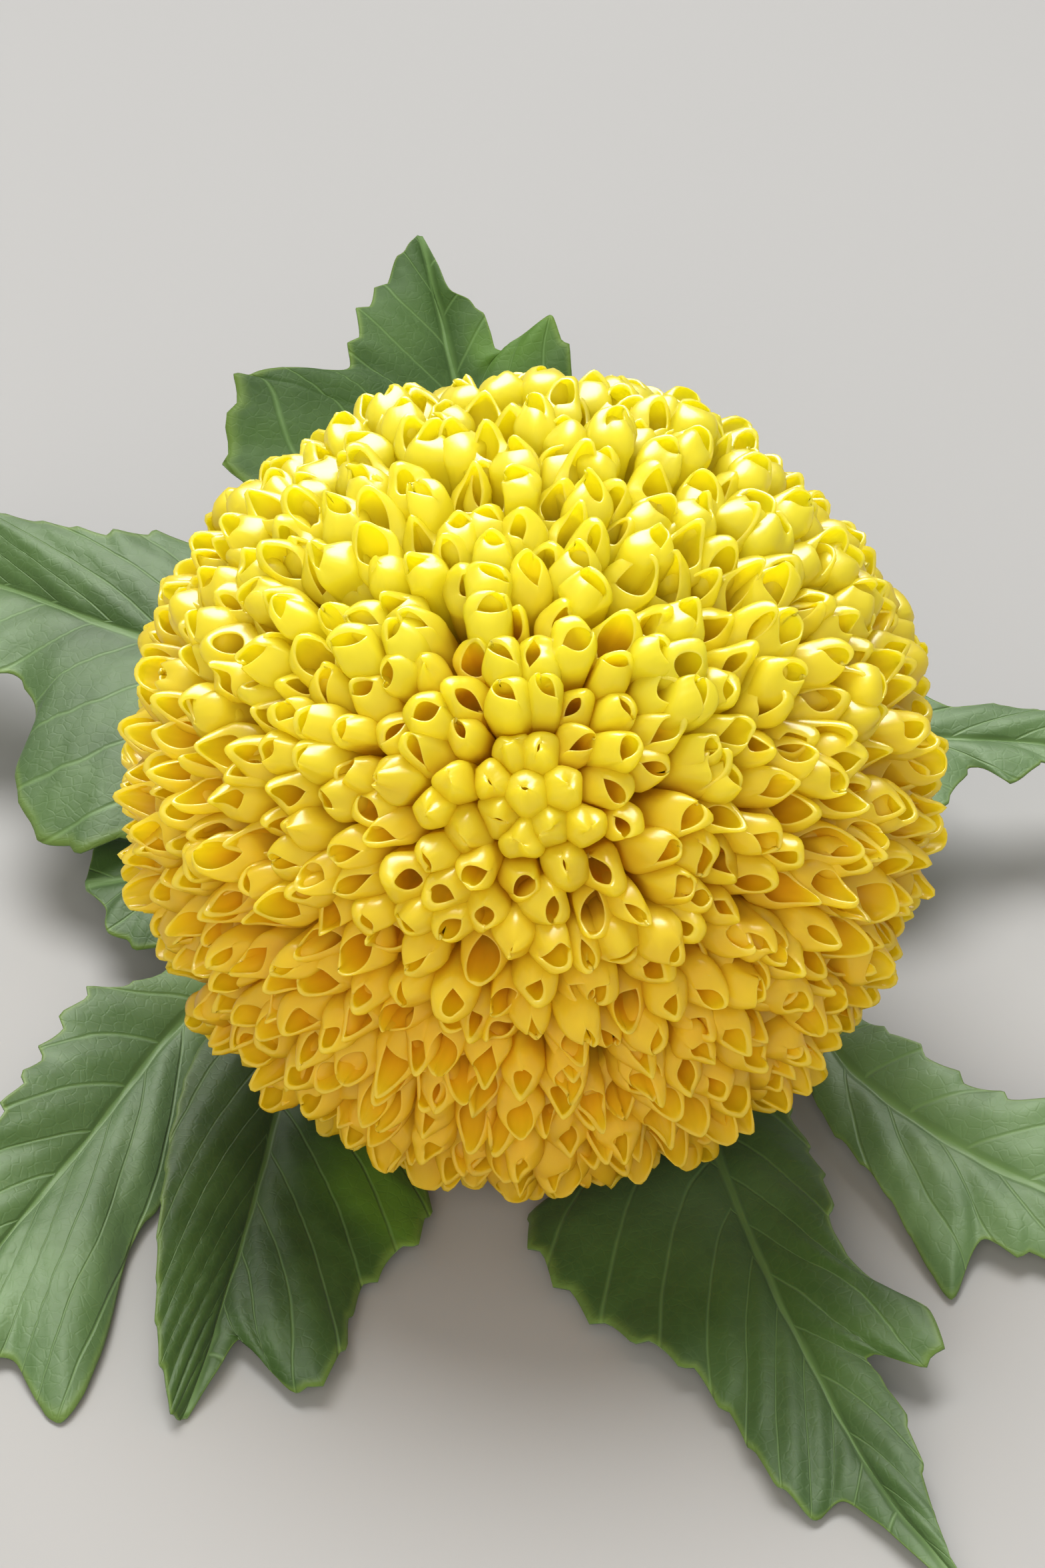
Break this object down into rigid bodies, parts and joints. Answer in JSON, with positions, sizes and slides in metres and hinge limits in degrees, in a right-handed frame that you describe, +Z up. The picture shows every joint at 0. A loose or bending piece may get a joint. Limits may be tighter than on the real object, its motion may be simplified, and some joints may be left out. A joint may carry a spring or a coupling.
{
  "type": "pompon chrysanthemum cut flower",
  "caption": "Yellow globe-shaped pompon chrysanthemum with rolled tube florets, lobed green leaves and a cut stem, lying on its side with the bloom facing up and forward.",
  "frame": {"origin": "on the surface that the flower lies on, under the middle of its bounding box", "axes": "+Z up from the surface; +Y along the stem towards its cut end; the bloom faces -Y and up; +X to the right of someone facing the bloom"},
  "size_m": [0.1444, 0.1932, 0.0752],
  "materials": {
    "petal": "satin, waxy",
    "bract": "matte",
    "leaf": "satin with fine down",
    "stem": "satin"
  },
  "bodies": {
    "root": {"floret_whorl_01": "petal", "floret_whorl_02": "petal", "floret_whorl_03": "petal", "floret_whorl_04": "petal", "floret_whorl_05": "petal", "floret_whorl_06": "petal", "floret_whorl_07": "petal", "floret_whorl_08": "petal", "floret_whorl_09": "petal", "floret_whorl_10": "petal", "floret_whorl_11": "petal", "floret_whorl_12": "petal", "floret_whorl_13": "petal", "involucre_bract_01": "bract", "involucre_bract_02": "bract", "involucre_bract_03": "bract", "involucre_bract_04": "bract", "involucre_bract_05": "bract", "involucre_bract_06": "bract", "involucre_bract_07": "bract", "involucre_bract_08": "bract", "involucre_bract_09": "bract", "involucre_bract_10": "bract", "involucre_bract_11": "bract", "involucre_bract_12": "bract", "involucre_bract_13": "bract", "leaf_top": "leaf", "leaf_left": "leaf", "leaf_small": "leaf", "leaf_right": "leaf", "leaf_lower_left_front": "leaf", "leaf_lower_left_back": "leaf", "leaf_lower_right_front": "leaf", "leaf_lower_right_back": "leaf", "stem": "stem"}
  },
  "joints": []
}
